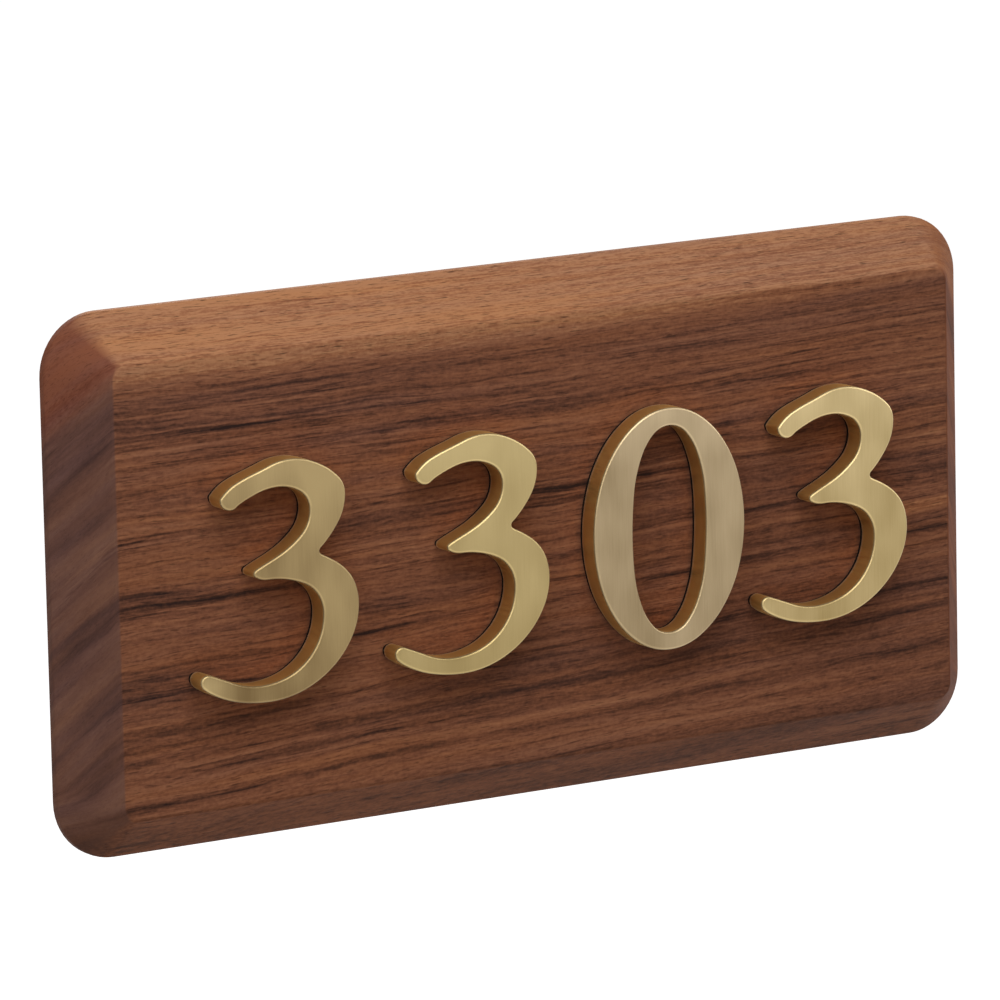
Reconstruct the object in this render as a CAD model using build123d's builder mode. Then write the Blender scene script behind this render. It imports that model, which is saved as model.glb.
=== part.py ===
"""House number plaque: a bevelled walnut board with raised brass numerals on thin pads and hidden pins.

Millimetres. The origin is the middle of the board's back, +X runs along the board to the viewer's right,
+Z is up and the numerals face -Y.
"""
import math
import os

from build123d import *

# Numerals
three_height = 44.8
zero_height = 46.4
zero_width = 33.6
zero_side_stroke = 8.6
zero_end_stroke = 3.4
numeral_thickness = 4.7
numeral_rim_radius = 0.5
numeral_back_radius = 0.25

# Clear wood between neighbouring numerals, and how far each numeral leans to the right, in degrees
first_gap = 7.5
second_gap = 9.9
third_gap = 3.1
first_lean = -0.4
second_lean = -0.1
third_lean = 0.8
fourth_lean = -1.7

# Clear wood around the row of numerals, from the tallest one and the outer ones to the board's edges
left_margin = 22.4
right_margin = 22.0
top_margin = 28.2
bottom_margin = 27.4
three_lift = 0.4  # the middle of a three stands this much above the middle of the zero

# Board
board_thickness = 12.0
square_edge = 2.0  # flat edge left behind the bevel
bevel_width = 8.7
face_corner_radius = 2.8  # corner of the flat face, inside the bevel
face_edge_radius = 1.2
rim_edge_radius = 0.8
back_edge_radius = 0.5

# Dark pads between the numerals and the board, and the pins behind the numerals
pad_thickness = 0.8
pad_inset = 0.25  # from a numeral's outline to its pad's
pin_diameter = 3.0
pin_clearance = 0.05  # glue film around a pin
pin_end_gap = 0.2  # glue between a pin's end and the bottom of its hole in the board
brass_over_pin = 2.0
wood_behind_pin = 5.0

# Keyhole slots in the back, for two wall screws
keyhole_spacing = 120.0
keyhole_from_top = 22.0  # from the board's top edge to where a screw's neck comes to rest
keyhole_head_diameter = 9.0
keyhole_neck_width = 4.5
keyhole_rise = 10.0
keyhole_lip = 3.0  # wood that hooks over a screw's head
wood_over_keyhole = 4.0

# Outline of the three, smooth all the way round, on a grid of 1000 to its height with the origin at its
# lower left: points in order, each with the outline's heading there in degrees
three_grid = 1000
three_outline = [
    (117, 864, 90),  # upper terminal
    (130, 884, 46),
    (265, 955, 17),  # upper bowl, outside
    (445, 1000, 0),
    (618, 947, -32),
    (705, 830, -90),
    (592, 622, -138),  # notch between the bowls
    (575, 601, -90),
    (600, 577, -26),
    (711, 495, -51),  # lower bowl, outside
    (755, 365, -90),
    (630, 113, -139),
    (325, 0, 180),
    (40, 72, 149),  # tail
    (0, 120, 90),
    (45, 147, -22),
    (280, 73, 0),  # lower bowl, inside
    (500, 150, 42),
    (585, 340, 90),
    (330, 510, 180),  # middle tip
    (285, 519, 157),
    (263, 541, 90),
    (290, 566, 24),
    (390, 610, 26),  # upper bowl, inside
    (535, 780, 90),
    (385, 890, 180),
    (215, 843, -154),
    (165, 819, 180),
]
three_pin_points = [(622, 790), (670, 350)]  # in the thick of the upper and the lower bowl

# Where the zero's ovals cross their diagonals, as a share of their half sizes: 0.707 is an ellipse
zero_fullness = 0.707
counter_fullness = 0.736  # the counter is a little squarer

# Worked out from the sizes above: the row of numerals and the board around it
three_unit = three_height / three_grid
three_width = max(x for x, *_ in three_outline) * three_unit
counter_half_width = zero_width / 2 - zero_side_stroke
counter_half_height = zero_height / 2 - zero_end_stroke
row_length = 3 * three_width + zero_width + first_gap + second_gap + third_gap
board_length = left_margin + row_length + right_margin
board_height = bottom_margin + zero_height + top_margin
first_x = left_margin + three_width / 2 - board_length / 2
second_x = first_x + three_width + first_gap
third_x = second_x + three_width / 2 + second_gap + zero_width / 2
fourth_x = third_x + zero_width / 2 + third_gap + three_width / 2
zero_z = bottom_margin + zero_height / 2 - board_height / 2
three_z = zero_z + three_lift
corner_radius = face_corner_radius + bevel_width
bevel_angle = math.degrees(math.atan2(bevel_width, board_thickness - square_edge))

# Worked out from the sizes above: pins and keyhole slots
pin_in_numeral = numeral_thickness - brass_over_pin
pin_in_board = board_thickness - wood_behind_pin
pin_hole_reach = pad_thickness + pin_in_board
pin_length = pin_in_numeral + pin_hole_reach - pin_end_gap
pin_hole_radius = pin_diameter / 2 + pin_clearance
zero_pin_reach = (zero_width - zero_side_stroke) / 2
keyhole_depth = board_thickness - wood_over_keyhole
keyhole_rest_z = board_height / 2 - keyhole_from_top
keyhole_entries = [(side * keyhole_spacing / 2, keyhole_rest_z - keyhole_rise) for side in (-1, 1)]
keyhole_middles = [(side * keyhole_spacing / 2, keyhole_rest_z - keyhole_rise / 2) for side in (-1, 1)]
back = Plane.XZ


def from_three_grid(x, y):
    """A point of the three's grid, in millimetres from the three's middle."""
    return (x * three_unit - three_width / 2, y * three_unit - three_height / 2)


def oval_points(half_width, half_height, fullness):
    """An upright oval about the origin, clockwise from its right: places and headings."""
    side, end = fullness * half_width, fullness * half_height
    slope = math.degrees(math.atan2(half_height, half_width))
    return [
        ((half_width, 0), -90),
        ((side, -end), slope - 180),
        ((0, -half_height), 180),
        ((-side, -end), 180 - slope),
        ((-half_width, 0), 90),
        ((-side, end), slope),
        ((0, half_height), 0),
        ((side, end), -slope),
    ]


def arcs(points):
    """Start, end and first direction of each arc in a closed smooth line, two arcs between neighbours."""
    headings = [Vector(math.cos(math.radians(turn)), math.sin(math.radians(turn))) for place, turn in points]
    places = [Vector(*place) for place, turn in points]
    rows = []
    for index, place in enumerate(places):
        leaving, start = headings[index - 1], places[index - 1]
        arriving = headings[index]
        step = place - start
        along = step.dot(leaving + arriving)
        turning = 2 * (1 - leaving.dot(arriving)) * step.dot(step)
        reach = step.dot(step) / (along + math.sqrt(along**2 + turning))
        middle = (start + place + (leaving - arriving) * reach) * 0.5
        rows.append((start, middle, leaving))
        rows.append((middle, place, step - (leaving + arriving) * reach))
    return rows


def standing_plane(centre_x, centre_z, lean):
    """The plane of a numeral's back, on its pad, at its middle and leaning with it."""
    turn = math.radians(lean)
    return Plane(
        origin=(centre_x, -board_thickness - pad_thickness, centre_z),
        x_dir=(math.cos(turn), 0, -math.sin(turn)),
        z_dir=(0, -1, 0),
    )


# Faces of the numerals
three_points = [(from_three_grid(x, y), heading) for x, y, heading in three_outline]
zero_points = oval_points(zero_width / 2, zero_height / 2, zero_fullness)
counter_points = oval_points(counter_half_width, counter_half_height, counter_fullness)

with BuildSketch() as three:
    with BuildLine():
        for start, end, heading in arcs(three_points):
            TangentArc(start, end, tangent=heading)
    make_face()

with BuildSketch() as zero:
    with BuildLine():
        for start, end, heading in arcs(zero_points):
            TangentArc(start, end, tangent=heading)
    make_face()
    with BuildLine():
        for start, end, heading in arcs(counter_points):
            TangentArc(start, end, tangent=heading)
    make_face(mode=Mode.SUBTRACT)

# The row from left to right: each numeral's face, the places of its pins, and the plane of its back
three_pins = [from_three_grid(*point) for point in three_pin_points]
zero_pins = [(-zero_pin_reach, 0), (zero_pin_reach, 0)]
numerals = [
    ("first", three, three_pins, standing_plane(first_x, three_z, first_lean)),
    ("second", three, three_pins, standing_plane(second_x, three_z, second_lean)),
    ("third", zero, zero_pins, standing_plane(third_x, zero_z, third_lean)),
    ("fourth", three, three_pins, standing_plane(fourth_x, three_z, fourth_lean)),
]

os.makedirs("parts", exist_ok=True)

# Board: a square edge, then the bevel, with every edge softened
with BuildPart() as board:
    with BuildSketch(back):
        RectangleRounded(board_length, board_height, corner_radius)
    extrude(amount=square_edge)
    with BuildSketch(back.offset(square_edge)):
        RectangleRounded(board_length, board_height, corner_radius)
    extrude(amount=board_thickness - square_edge, taper=bevel_angle)
    fillet(board.faces().sort_by(Axis.Y)[0].edges(), radius=face_edge_radius)
    fillet(board.faces().sort_by(Axis.Y)[-1].edges(), radius=back_edge_radius)
    rim_edges = board.edges().filter_by_position(Axis.Y, -square_edge, -square_edge)
    fillet(rim_edges, radius=rim_edge_radius)

    # Blind holes in the face for the numerals' pins
    for name, face, pins, plane in numerals:
        with BuildSketch(plane):
            with Locations(*pins):
                Circle(pin_hole_radius)
        extrude(amount=-pin_hole_reach, mode=Mode.SUBTRACT)

    # Keyhole slots: an entry for a screw's head, a neck above it, and room for the head behind the lip
    with BuildSketch(back):
        with Locations(*keyhole_entries):
            Circle(keyhole_head_diameter / 2)
        with Locations(*keyhole_middles):
            SlotCenterToCenter(keyhole_rise, keyhole_neck_width, rotation=90)
    extrude(amount=keyhole_depth, mode=Mode.SUBTRACT)
    with BuildSketch(back.offset(keyhole_lip)):
        with Locations(*keyhole_middles):
            SlotCenterToCenter(keyhole_rise, keyhole_head_diameter, rotation=90)
    extrude(amount=keyhole_depth - keyhole_lip, mode=Mode.SUBTRACT)
board.part.label = "board"
export_step(board.part, "parts/board.step")

# Numerals: cut from brass plate, rounded round the front and the back, with two blind holes for pins
for name, face, pins, plane in numerals:
    with BuildPart() as numeral:
        with BuildSketch(plane):
            add(face.sketch)
        extrude(amount=numeral_thickness)
        fillet(numeral.faces().sort_by(Axis.Y)[0].edges(), radius=numeral_rim_radius)
        fillet(numeral.faces().sort_by(Axis.Y)[-1].edges(), radius=numeral_back_radius)
        with BuildSketch(plane):
            with Locations(*pins):
                Circle(pin_hole_radius)
        extrude(amount=pin_in_numeral, mode=Mode.SUBTRACT)
    numeral.part.label = f"{name}_numeral"
    export_step(numeral.part, f"parts/{numeral.part.label}.step")

# Pads: each a little inside its numeral's outline, with holes that let the pins through
for name, face, pins, plane in numerals:
    with BuildPart() as pad:
        with BuildSketch(plane):
            add(face.sketch)
            offset(amount=-pad_inset)
            with Locations(*pins):
                Circle(pin_hole_radius, mode=Mode.SUBTRACT)
        extrude(amount=-pad_thickness)
    pad.part.label = f"{name}_pad"
    export_step(pad.part, f"parts/{pad.part.label}.step")

# Pins: a group of alike pins, each seated in its numeral and reaching through its pad into the board
with BuildPart() as numeral_pins:
    for name, face, pins, plane in numerals:
        with BuildSketch(plane.offset(pin_in_numeral)):
            with Locations(*pins):
                Circle(pin_diameter / 2)
        extrude(amount=-pin_length)
numeral_pins.part.label = "numeral_pins"
export_step(numeral_pins.part, "parts/numeral_pins.step")
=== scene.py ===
"""House number plaque: the looks of the bevelled walnut board and its raised brass numerals.

Metres, in the frame of the solids: the board's back is at Y = 0, the numerals face -Y and +Z is up.
The grain and the brushing are measured in millimetres.
"""
from math import radians

import bmesh
import bpy
from mathutils import Matrix, Vector


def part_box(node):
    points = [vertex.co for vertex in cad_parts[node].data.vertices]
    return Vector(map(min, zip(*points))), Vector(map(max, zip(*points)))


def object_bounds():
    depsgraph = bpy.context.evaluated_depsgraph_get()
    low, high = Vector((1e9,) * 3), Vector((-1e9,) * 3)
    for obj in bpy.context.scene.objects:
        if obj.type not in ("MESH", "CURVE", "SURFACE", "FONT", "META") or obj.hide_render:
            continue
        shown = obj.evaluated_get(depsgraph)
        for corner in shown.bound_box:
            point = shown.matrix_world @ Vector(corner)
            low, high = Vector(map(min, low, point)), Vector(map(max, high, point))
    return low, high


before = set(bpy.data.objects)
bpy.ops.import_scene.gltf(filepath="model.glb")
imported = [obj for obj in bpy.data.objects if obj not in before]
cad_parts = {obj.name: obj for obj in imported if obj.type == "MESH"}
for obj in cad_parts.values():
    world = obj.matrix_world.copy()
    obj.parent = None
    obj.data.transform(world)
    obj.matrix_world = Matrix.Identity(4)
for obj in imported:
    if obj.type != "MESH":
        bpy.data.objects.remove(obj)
cad_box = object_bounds()

MILLIMETRES = 1000.0  # in a metre
BOARD_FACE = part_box("board")[0].y * MILLIMETRES
NUMERAL_FACE = cad_box[0].y * MILLIMETRES
WHITE = (1.0, 1.0, 1.0, 1.0)

# Growth layers of the board
LAYER_TILT = 1.1  # how far a layer falls for each millimetre further back
LOW_TILT = 0.35  # how far it falls along the bottom edge
TILT_HEIGHTS = (-44.0, -37.0)  # between these heights the tilt grows from the low one to the full one
LAYER_CLIMB = 0.033  # how far it rises for each millimetre to the right, half way up the face
LAYER_FAN = 0.0005  # how much more it rises there for each millimetre lower down
LAYER_BEND = 0.000075  # how fast it bends upwards towards both ends, half way up the face
BEND_FAN = 0.0000023  # how much more it bends for each millimetre higher up
SWAY_REACH = 3.4  # how far layers sway
RIPPLE_REACH = 1.0  # how far they ripple
PALE_LAYERS = (37.0, 41.5)  # over these the wood turns paler
LOW_LAYERS = (-40.0, -5.0)  # below the upper of these, lines turn fainter

# Dark growth bands: height on the face at the board's middle, half width, and how dark
DARK_BANDS = (
    (54.0, 1.4, 0.4),
    (47.5, 1.2, 0.5),
    (37.8, 1.3, 0.5),
    (35.0, 0.9, 0.7),
    (32.0, 1.1, 1.0),
    (29.2, 0.9, 0.7),
    (25.2, 1.0, 0.7),
    (19.8, 0.9, 0.4),
    (12.4, 1.3, 0.6),
    (9.0, 1.2, 0.9),
    (2.0, 1.0, 0.5),
    (-0.6, 1.4, 1.0),
    (-11.6, 1.5, 0.9),
    (-14.8, 1.0, 0.5),
    (-22.8, 1.5, 0.9),
    (-25.5, 0.9, 0.5),
    (-28.0, 1.5, 0.9),
    (-35.6, 1.5, 0.8),
)

GRAIN_START = 870.0  # where along the tree's grain the board begins

# Patterns of the grain: length along it, thickness across the layers and width into the board
SWAY = (60.0, 16.0, 30.0)
RIPPLE = (16.0, 3.0, 6.0)
ZONES = (150.0, 9.0, 30.0)
BROAD_LINES = (120.0, 5.0, 14.0)
LONG_LINES = (100.0, 1.5, 30.0)
THIN_LINES = (45.0, 0.8, 15.0)
STREAKS = (18.0, 0.7, 3.0)
DASHES = (26.0, 1.4, 8.0)
BUSY_PARTS = (70.0, 7.0, 20.0)
WARM_PARTS = (60.0, 2.6, 15.0)
FIBRES = (3.0, 0.5, 0.8)
SPECKS = (0.8, 0.55, 0.5)
PORES = (3.0, 0.30, 0.5)

# Over which part of a pattern its marks fade in or out
BUSY_NOISE = (0.33, 0.67)
DASH_NOISE = (0.41, 0.58)
STREAK_NOISE = (0.36, 0.43)
PORE_NOISE = (0.28, 0.40)

# How closely lines stand and how short they are half way up the board, and the gain per layer
LINE_CROWDING = 1.05
CROWDING_GAIN = 0.0064
LINE_SHORTENING = 1.10
SHORTENING_GAIN = 0.010

# Over which sideways or upward turn of a surface it becomes end grain, right end or underside
END_TURN = (0.14, 0.44)
RIGHT_TURN = (0.0, 0.1)
UNDERSIDE_TURN = (-0.50, -0.15)

# How strongly lines show: in quiet and busy parts, what other places add to it, and the least of it
BUSY_SHARES = (0.45, 1.45)
LOW_LINES = -0.25
PALE_LINES = -0.30
END_LINES = -0.80
FEWEST_LINES = 0.15

# Tone of the wood half way up the board, its gain per layer, and what other places add to it
MIDDLE_TONE = 0.508
TONE_GAIN = 0.0009
PALE_TONE = 0.355
END_TONE = 0.02

# How far each pattern moves the tone, and what layers and places add to that
ZONE_CONTRAST = 0.36
BROAD_CONTRAST = 0.40
BROAD_GAIN = -0.0010
END_BROAD = 0.30
LINE_CONTRASTS = ((LONG_LINES, 0.60), (THIN_LINES, 0.48))
FIBRE_CONTRAST = 0.46
SPECK_CONTRAST = 0.30
PALE_MOTTLING = 0.50
END_MOTTLING = -0.70
DASH_SHARES = (0.06, 1.0)
BAND_TONE = -0.26
END_BAND = 0.15
STREAK_TONE = -0.17
PORE_SHARE = 0.5
PALE_PORES = 0.15
END_PORES = -0.35

# Walnut from its darkest lines to its palest wood, and the tints that shift it
WALNUT_TONES = (
    (0.00, (0.020, 0.0105, 0.0083)),
    (0.25, (0.064, 0.0260, 0.0156)),
    (0.50, (0.137, 0.0525, 0.0278)),
    (0.75, (0.203, 0.0840, 0.0425)),
    (1.00, (0.280, 0.1320, 0.0670)),
)
PORE_COLOUR = (0.020, 0.009, 0.006, 1.0)
COOL_TINT = (0.90, 0.97, 1.14, 1.0)
WARM_TINT = (1.10, 1.02, 0.85, 1.0)
END_GRAIN_TINT = (0.66, 0.79, 1.06, 1.0)
PALE_END_TINT = (0.49, 0.37, 0.42, 1.0)
# End grain at the right end, darkened less than at the left: partly painted light from the right
RIGHT_END_GRAIN_AND_LIGHT = (0.84, 0.70, 0.57, 1.0)
# Painted shade on the underside: darker and warmer than the lamps alone make it
PAINTED_UNDERSIDE_SHADE = (1.0, 0.95, 0.86, 1.0)

# Satin oil on the wood: roughness and what the tone adds to it, and relief as strength and height in metres
OIL_ROUGHNESS = 0.64
TONE_ROUGHNESS = -0.08
OIL_IOR = 1.09
WOOD_RELIEF = (0.30, 0.00012)

# Brass round the numerals, away from the brushed face: how far behind the face, and the colour; the dark
# first stop is painted shade on the rounded rim, the pale last one a painted highlight at the foot
SIDE_BRASS_AND_PAINTED_LIGHT = (
    (0.35, (0.21, 0.168, 0.092)),
    (0.70, (0.60, 0.355, 0.116)),
    (3.90, (0.56, 0.325, 0.106)),
    (4.40, (0.66, 0.46, 0.250)),
)
SIDE_DEPTH = 4.7
FACE_EDGE = (0.05, 0.40)  # between these distances behind the face its colour gives way to the sides'

# Brushed faces of the four numerals: shade and light of the brass, painted light as tone gained per
# millimetre rightwards and upwards, and a painted highlight along the top and a painted glint at the tip of
# the tail
NUMERAL_BRASS = {
    "first_numeral": ((0.152, 0.099, 0.042), (0.345, 0.253, 0.119), 0.016, 0.012, 0.22, 1.00),
    "second_numeral": ((0.282, 0.207, 0.087), (0.436, 0.335, 0.158), 0.002, 0.013, 0.22, 0.0),
    "third_numeral": ((0.205, 0.146, 0.074), (0.430, 0.330, 0.200), 0.003, 0.004, 0.45, 0.0),
    "fourth_numeral": ((0.262, 0.186, 0.073), (0.516, 0.398, 0.204), 0.0, 0.008, 0.30, 0.30),
}
FACE_TONE = 0.46  # half way up the board, at a numeral's middle
CROWN_HEIGHTS = (12.0, 22.0)  # over these the painted highlight rises along the top
TAIL_HEIGHTS = (-18.0, -12.0)  # over these the painted glint at the tail's tip fades out upwards
TAIL_PLACES = (-16.0, -7.0)  # over these, from a numeral's middle, it fades out rightwards

# Brushing: sizes to the right, inwards and upwards, and how far each pattern moves the tone
STROKES = (0.19, 3.0, 9.0)
CLOUDS = (7.0, 6.0, 14.0)
STROKE_CONTRAST = 0.42
CLOUD_CONTRAST = 0.9

# Roughness of the brass: its own, what strokes and the worn rim add, and what the sides lose again
BRASS_ROUGHNESS = 0.26
STROKE_ROUGHNESS = 0.22
RIM_WEAR = 0.18
RIM_START = (0.05, 0.30)  # over these distances behind the face the wear begins
SIDE_POLISH = 0.09
RIM_END = (0.60, 0.90)  # over these it lessens
BRUSHING_RELIEF = (0.25, 0.00005)

# Pads under the numerals, near black as painted shadow at the numerals' feet
PAD_MOTTLES = (0.6, 0.6, 0.6)
PAD_SHADE = (0.003, 0.002, 0.0015, 1.0)
PAD_LIGHT = (0.012, 0.009, 0.007, 1.0)
PAD_ROUGHNESS = 0.85
PAD_SHINE = 0.05
PAD_RELIEF = (0.3, 0.0001)

# Floor: half its width and how far it lies below the plaque, in metres
FLOOR_REACH = 4.0
FLOOR_DROP = 0.30
FLOOR_COLOUR = (0.80, 0.80, 0.80, 1.0)
FLOOR_ROUGHNESS = 0.9
FLOOR_GLOW = 0.90

# Light: the plain fill, and soft boxes with their places, widths and heights in metres and power in watts
FILL = 0.168
LAMPS = (
    ("overhead", (-0.10, -0.45, 0.68), 0.6, 0.5, 5.6),
    ("left_side", (-0.85, -0.48, 0.52), 0.6, 0.6, 6.2),
    ("right_side", (0.85, -0.12, 0.40), 0.6, 0.8, 4.4),
    ("behind", (0.20, 0.85, 0.45), 0.6, 0.6, 3.8),
)

# Camera: place in metres, angles in degrees, lens and film in millimetres, nearest and farthest in metres
CAMERA_PLACE = (-0.78637, -1.30238, 0.29538)
CAMERA_LEFT = 31.04
CAMERA_RISE = 10.79
CAMERA_ROLL = -1.23
LEVEL = 90.0  # a camera that looks straight ahead
LENS = 295.4
FILM_WIDTH = 36.0
NEAREST = 0.05
FARTHEST = 50.0


def join(tree, kind, inputs=(), **settings):
    """A new node, with its settings, its values and what is plugged into it."""
    node = tree.nodes.new(kind)
    for name, value in settings.items():
        setattr(node, name, value)
    for socket, value in inputs:
        if isinstance(value, bpy.types.NodeSocket):
            tree.links.new(value, node.inputs[socket])
        else:
            node.inputs[socket].default_value = value
    return node


def maths(tree, operation, *values, clamp=False):
    node = join(tree, "ShaderNodeMath", enumerate(values), operation=operation, use_clamp=clamp)
    return node.outputs[0]


def add_share(tree, value, share, amount):
    """A value and a share of an amount."""
    return maths(tree, "MULTIPLY_ADD", share, amount, value)


def span(tree, value, start, end, low=0.0, high=1.0):
    """Low up to the start, high from the end on, and even in between."""
    return join(tree, "ShaderNodeMapRange", enumerate((value, start, end, low, high))).outputs[0]


def vary(tree, value, pattern, strength):
    """A value raised and lowered by a pattern that lies about one half."""
    swing = maths(tree, "SUBTRACT", pattern, 0.5)
    return add_share(tree, value, swing, strength)


def grain(tree, place, sizes, detail=2.0, roughness=0.5):
    """Noise about one half over a place's three measures, drawn out to a size along each."""
    measures = [maths(tree, "DIVIDE", measure, size) for measure, size in zip(place, sizes)]
    vector = join(tree, "ShaderNodeCombineXYZ", enumerate(measures)).outputs[0]
    inputs = [("Vector", vector), ("Scale", 1.0), ("Detail", detail), ("Roughness", roughness)]
    return join(tree, "ShaderNodeTexNoise", inputs).outputs["Fac"]


def blend_colours(tree, factor, first, second, kind="MIX"):
    inputs = [(0, factor), (6, first), (7, second)]
    return join(tree, "ShaderNodeMix", inputs, data_type="RGBA", blend_type=kind).outputs[2]


def colour_ramp(tree, factor, stops):
    """Colours along a factor: stops are (place, colour)."""
    node = join(tree, "ShaderNodeValToRGB", [("Fac", factor)])
    elements = node.color_ramp.elements
    while len(elements) < len(stops):
        elements.new(1.0)
    for element, (place, colour) in zip(elements, stops):
        element.position = place
        element.color = (*colour, 1.0)
    return node.outputs["Color"]


def millimetres(tree):
    """The place on the plaque in millimetres: right, in and up."""
    place = join(tree, "ShaderNodeTexCoord").outputs["Object"]
    large = join(tree, "ShaderNodeVectorMath", [(0, place), ("Scale", MILLIMETRES)], operation="SCALE")
    return join(tree, "ShaderNodeSeparateXYZ", [(0, large.outputs[0])]).outputs


def new_material(name):
    material = bpy.data.materials.new(name)
    material.use_nodes = True
    tree = material.node_tree
    return material, tree, tree.nodes["Principled BSDF"]


def roughen(tree, shader, height, strength, distance):
    """Small relief on a surface, with its distance in metres."""
    inputs = [("Height", height), ("Strength", strength), ("Distance", distance)]
    bump = join(tree, "ShaderNodeBump", inputs)
    tree.links.new(bump.outputs[0], shader.inputs["Normal"])


def growth_layer(tree, right, depth, up):
    """Height of the growth layer through each point, measured on the face at the board's middle."""
    tilt = span(tree, up, *TILT_HEIGHTS, LOW_TILT, LAYER_TILT)
    level = add_share(tree, up, depth, tilt)
    climb = add_share(tree, LAYER_CLIMB, level, -LAYER_FAN)
    bend = add_share(tree, LAYER_BEND, level, BEND_FAN)
    rise = add_share(tree, climb, bend, right)
    straight = maths(tree, "SUBTRACT", level, maths(tree, "MULTIPLY", rise, right))
    layer = vary(tree, straight, grain(tree, (right, straight, depth), SWAY), SWAY_REACH)
    return vary(tree, layer, grain(tree, (right, straight, depth), RIPPLE), RIPPLE_REACH)


def oiled_walnut():
    """Walnut whose grain runs through the whole board, with a satin oil."""
    material, tree, shader = new_material("oiled_walnut")
    right, inward, up = millimetres(tree)
    depth = maths(tree, "SUBTRACT", inward, BOARD_FACE)
    layer = growth_layer(tree, right, depth, up)
    place = (maths(tree, "ADD", right, GRAIN_START), layer, depth)

    # Lines stand closer and run shorter higher up the board
    crowding = add_share(tree, LINE_CROWDING, layer, CROWDING_GAIN)
    shortening = add_share(tree, LINE_SHORTENING, layer, SHORTENING_GAIN)
    along = add_share(tree, GRAIN_START, right, shortening)
    line_place = (along, maths(tree, "MULTIPLY", layer, crowding), depth)

    # Lines are fainter in quiet parts, low on the board, in the pale layers along the top and in end grain
    normal = join(tree, "ShaderNodeTexCoord").outputs["Normal"]
    facing = join(tree, "ShaderNodeSeparateXYZ", [(0, normal)]).outputs
    sideways, upward = facing["X"], facing["Z"]
    end = span(tree, maths(tree, "ABSOLUTE", sideways), *END_TURN)
    pale = span(tree, layer, *PALE_LAYERS)
    lined = span(tree, grain(tree, place, BUSY_PARTS), *BUSY_NOISE, *BUSY_SHARES)
    lined = maths(tree, "ADD", lined, span(tree, layer, *LOW_LAYERS, LOW_LINES, 0.0))
    lined = add_share(tree, lined, pale, PALE_LINES)
    lined = maths(tree, "MAXIMUM", add_share(tree, lined, end, END_LINES), FEWEST_LINES)

    # Tone, from broad zones to fine specks
    zones = grain(tree, place, ZONES, detail=1.0)
    tone = vary(tree, add_share(tree, MIDDLE_TONE, layer, TONE_GAIN), zones, ZONE_CONTRAST)
    broad_share = add_share(tree, BROAD_CONTRAST, layer, BROAD_GAIN)
    broad_share = add_share(tree, broad_share, end, END_BROAD)
    tone = vary(tree, tone, grain(tree, place, BROAD_LINES), broad_share)
    for sizes, contrast in LINE_CONTRASTS:
        lines = grain(tree, line_place, sizes, detail=1.0)
        tone = vary(tree, tone, lines, maths(tree, "MULTIPLY", lined, contrast))
    fibres = grain(tree, place, FIBRES, detail=1.0)
    specks = grain(tree, place, SPECKS, detail=1.0)
    mottling = add_share(tree, 1.0, pale, PALE_MOTTLING)
    mottling = add_share(tree, mottling, end, END_MOTTLING)
    tone = vary(tree, tone, fibres, maths(tree, "MULTIPLY", mottling, FIBRE_CONTRAST))
    tone = vary(tree, tone, specks, maths(tree, "MULTIPLY", mottling, SPECK_CONTRAST))
    tone = add_share(tree, tone, pale, PALE_TONE)
    tone = add_share(tree, tone, end, END_TONE)

    # Dark bands broken into dashes, and loose dark streaks
    bands = 0.0
    for height, half_width, darkness in DARK_BANDS:
        away = maths(tree, "ABSOLUTE", maths(tree, "SUBTRACT", layer, height))
        near = add_share(tree, darkness, away, -darkness / half_width)
        bands = maths(tree, "MAXIMUM", near, bands)
    dashes = span(tree, grain(tree, place, DASHES), *DASH_NOISE, *DASH_SHARES)
    band_tone = add_share(tree, BAND_TONE, end, END_BAND)
    tone = add_share(tree, tone, maths(tree, "MULTIPLY", bands, dashes), band_tone)
    streaks = span(tree, grain(tree, place, STREAKS), *STREAK_NOISE, 1.0, 0.0)
    tone = add_share(tree, tone, maths(tree, "MULTIPLY", streaks, lined), STREAK_TONE)

    # Colour: warmer and cooler parts, open pores, the tints of the two ends with painted light on the right
    # one, and painted shade on the underside
    warmth = vary(tree, grain(tree, place, WARM_PARTS), zones, 1.0)
    colour = colour_ramp(tree, tone, WALNUT_TONES)
    colour = blend_colours(tree, 1.0, colour, blend_colours(tree, warmth, COOL_TINT, WARM_TINT), "MULTIPLY")
    open_pores = span(tree, grain(tree, place, PORES, detail=1.0), *PORE_NOISE, 1.0, 0.0)
    pore_share = add_share(tree, PORE_SHARE, pale, PALE_PORES)
    pore_share = add_share(tree, pore_share, end, END_PORES)
    colour = blend_colours(tree, maths(tree, "MULTIPLY", open_pores, pore_share), colour, PORE_COLOUR)
    left_tint = blend_colours(tree, pale, END_GRAIN_TINT, PALE_END_TINT)
    # The right end keeps more of its colour: painted light
    end_grain_and_light_tint = blend_colours(tree, span(tree, sideways, *RIGHT_TURN), left_tint, RIGHT_END_GRAIN_AND_LIGHT)
    colour = blend_colours(tree, end, colour, end_grain_and_light_tint, "MULTIPLY")
    # Painted shade: darker and warmer wood on the underside
    underside = span(tree, upward, *UNDERSIDE_TURN, 1.0, 0.0)
    colour = blend_colours(tree, underside, colour, PAINTED_UNDERSIDE_SHADE, "MULTIPLY")
    tree.links.new(colour, shader.inputs["Base Color"])

    # Satin oil: a little rougher in the dark layers, with the pores left open
    tree.links.new(add_share(tree, OIL_ROUGHNESS, tone, TONE_ROUGHNESS), shader.inputs["Roughness"])
    shader.inputs["IOR"].default_value = OIL_IOR
    relief = add_share(tree, maths(tree, "ADD", fibres, tone), open_pores, -1.0)
    roughen(tree, shader, relief, *WOOD_RELIEF)
    return material


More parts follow.
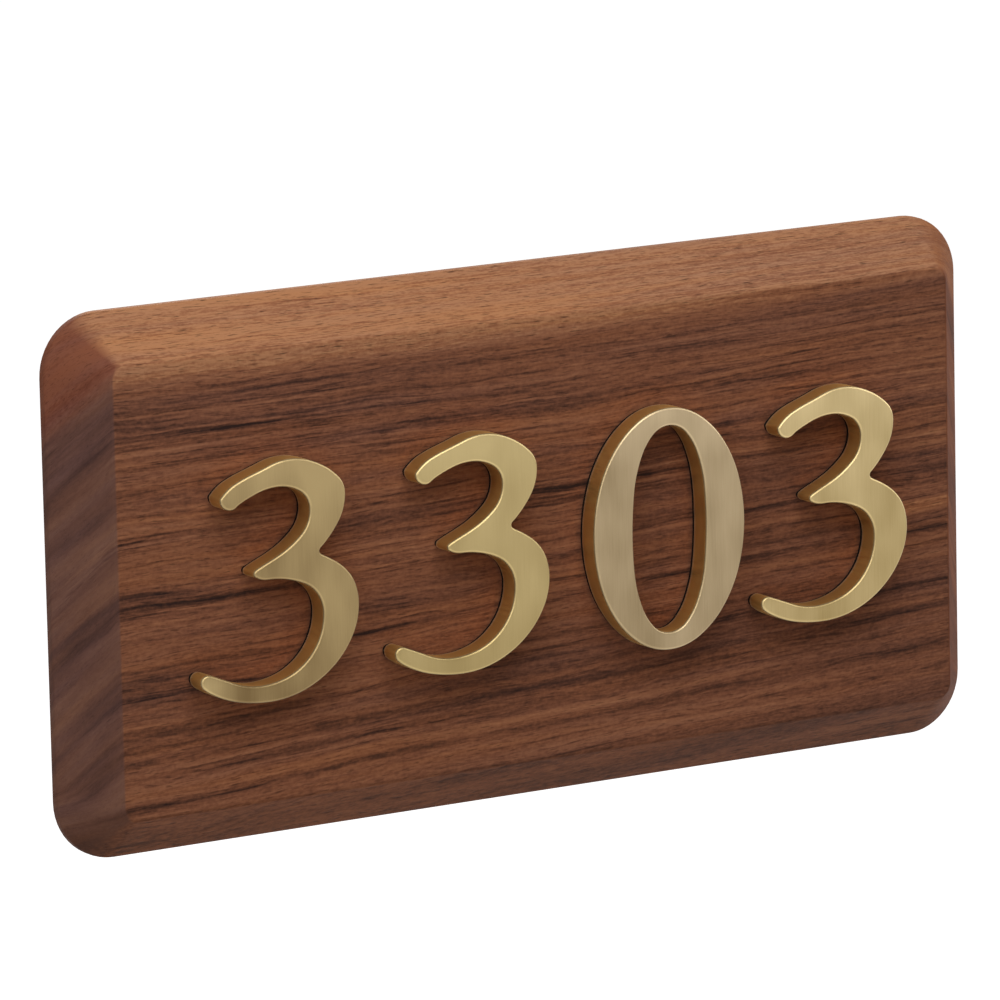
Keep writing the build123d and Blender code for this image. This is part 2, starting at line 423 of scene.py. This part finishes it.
def brushed_brass(name, middle, shade, light, painted_slant_light, rise, painted_crown_highlight, tail):
    """Satin brass brushed up and down on its face, with worn rims and plainer sides, and with painted light,
    highlights and shade in its colour.
    """
    material, tree, shader = new_material(name)
    place = millimetres(tree)
    right, inward, up = place
    behind = maths(tree, "SUBTRACT", inward, NUMERAL_FACE)
    strokes = grain(tree, place, STROKES, detail=3.0, roughness=0.65)
    clouds = grain(tree, place, CLOUDS, detail=1.0)

    # Tone of the face, with painted light: lighter rightwards and upwards, a painted highlight along the top
    # and a painted glint at the tip of the tail
    across = maths(tree, "SUBTRACT", right, middle)
    tone = add_share(tree, FACE_TONE, up, rise)
    tone = add_share(tree, tone, across, painted_slant_light)
    tone = maths(tree, "ADD", tone, span(tree, up, *CROWN_HEIGHTS, 0.0, painted_crown_highlight))
    low = span(tree, up, *TAIL_HEIGHTS, 1.0, 0.0)
    tone = add_share(tree, tone, span(tree, across, *TAIL_PLACES, tail, 0.0), low)
    tone = vary(tree, tone, strokes, STROKE_CONTRAST)
    tone = vary(tree, tone, clouds, CLOUD_CONTRAST)
    face = blend_colours(tree, maths(tree, "ADD", tone, 0.0, clamp=True), (*shade, 1.0), (*light, 1.0))

    # Sides: plainer brass, coloured by how far it lies behind the face, with painted shade on the rim and a
    # painted highlight at the foot
    edge = span(tree, behind, *FACE_EDGE)
    side_stops = [(distance / SIDE_DEPTH, colour) for distance, colour in SIDE_BRASS_AND_PAINTED_LIGHT]
    side = colour_ramp(tree, maths(tree, "DIVIDE", behind, SIDE_DEPTH), side_stops)
    tree.links.new(blend_colours(tree, edge, face, side), shader.inputs["Base Color"])
    shader.inputs["Metallic"].default_value = 1.0

    # Strokes catch the light unevenly, and the worn rim is the dullest
    wear = span(tree, behind, *RIM_START, 0.0, RIM_WEAR)
    worn = maths(tree, "SUBTRACT", wear, span(tree, behind, *RIM_END, 0.0, SIDE_POLISH))
    brushed = add_share(tree, BRASS_ROUGHNESS, strokes, STROKE_ROUGHNESS)
    tree.links.new(maths(tree, "ADD", worn, brushed), shader.inputs["Roughness"])
    roughen(tree, shader, strokes, *BRUSHING_RELIEF)
    return material


def pad_with_painted_shadow():
    """Matt black pad under a numeral, faintly mottled: its near-black colour is painted shadow at the
    numeral's foot.
    """
    material, tree, shader = new_material("pad_with_painted_shadow")
    mottling = grain(tree, millimetres(tree), PAD_MOTTLES)
    colour = blend_colours(tree, mottling, PAD_SHADE, PAD_LIGHT)
    tree.links.new(colour, shader.inputs["Base Color"])
    shader.inputs["Roughness"].default_value = PAD_ROUGHNESS
    shader.inputs["Specular IOR Level"].default_value = PAD_SHINE
    roughen(tree, shader, mottling, *PAD_RELIEF)
    return material


def where_seen(tree):
    """1 where the camera looks, straight or by a mirror or glass, and 0 for other light."""
    rays = join(tree, "ShaderNodeLightPath").outputs
    seen = maths(tree, "MAXIMUM", rays["Is Camera Ray"], rays["Is Glossy Ray"])
    return maths(tree, "MAXIMUM", seen, rays["Is Transmission Ray"])


def pale_floor():
    """A wide floor, well below the plaque, because the plaque hangs."""
    shape = bmesh.new()
    bmesh.ops.create_grid(shape, x_segments=1, y_segments=1, size=FLOOR_REACH)
    bmesh.ops.translate(shape, verts=shape.verts, vec=(0, 0, cad_box[0].z - FLOOR_DROP))
    mesh = bpy.data.meshes.new("floor")
    shape.to_mesh(mesh)
    shape.free()
    floor = bpy.data.objects.new("floor", mesh)
    bpy.context.scene.collection.objects.link(floor)
    material, tree, shader = new_material("pale_floor")
    shader.inputs["Base Color"].default_value = FLOOR_COLOUR
    shader.inputs["Roughness"].default_value = FLOOR_ROUGHNESS
    shader.inputs["Specular IOR Level"].default_value = 0.0
    shader.inputs["Emission Color"].default_value = WHITE
    glow = maths(tree, "MULTIPLY", where_seen(tree), FLOOR_GLOW)
    tree.links.new(glow, shader.inputs["Emission Strength"])
    mesh.materials.append(material)


def studio_world():
    """White where it is seen, and a plain fill for the rest."""
    world = bpy.data.worlds.new("studio")
    bpy.context.scene.world = world
    world.use_nodes = True
    tree = world.node_tree
    background = tree.nodes["Background"]
    background.inputs["Color"].default_value = WHITE
    strength = add_share(tree, FILL, where_seen(tree), 1.0 - FILL)
    tree.links.new(strength, background.inputs["Strength"])


def soft_lamp(name, place, width, height, power):
    """A soft box that points at the plaque."""
    lamp = bpy.data.lights.new(name, "AREA")
    lamp.shape = "RECTANGLE"
    lamp.size = width
    lamp.size_y = height
    lamp.energy = power
    holder = bpy.data.objects.new(name, lamp)
    bpy.context.scene.collection.objects.link(holder)
    holder.location = place
    holder.rotation_euler = (-Vector(place)).to_track_quat("-Z", "Y").to_euler()


def photo_camera():
    """Left of the plaque and a little above it, with a long lens."""
    lens = bpy.data.cameras.new("camera")
    lens.lens = LENS
    lens.sensor_width = FILM_WIDTH
    lens.clip_start = NEAREST
    lens.clip_end = FARTHEST
    camera = bpy.data.objects.new("camera", lens)
    bpy.context.scene.collection.objects.link(camera)
    turn = (
        Matrix.Rotation(radians(-CAMERA_LEFT), 4, "Z")
        @ Matrix.Rotation(radians(LEVEL - CAMERA_RISE), 4, "X")
        @ Matrix.Rotation(radians(CAMERA_ROLL), 4, "Z")
    )
    camera.matrix_world = Matrix.Translation(CAMERA_PLACE) @ turn
    bpy.context.scene.camera = camera


finishes = {"board": oiled_walnut()}
pad_and_painted_shadow = pad_with_painted_shadow()
for node, brass in NUMERAL_BRASS.items():
    lowest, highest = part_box(node)
    middle = (lowest.x + highest.x) / 2 * MILLIMETRES
    finishes[node] = brushed_brass(node.replace("numeral", "brass"), middle, *brass)
    finishes[node.replace("numeral", "pad")] = pad_and_painted_shadow
finishes["numeral_pins"] = finishes["second_numeral"]
for name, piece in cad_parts.items():
    piece.data.materials[0] = finishes[name]

pale_floor()
studio_world()
for lamp in LAMPS:
    soft_lamp(*lamp)
photo_camera()
bpy.context.scene.view_settings.view_transform = "Standard"
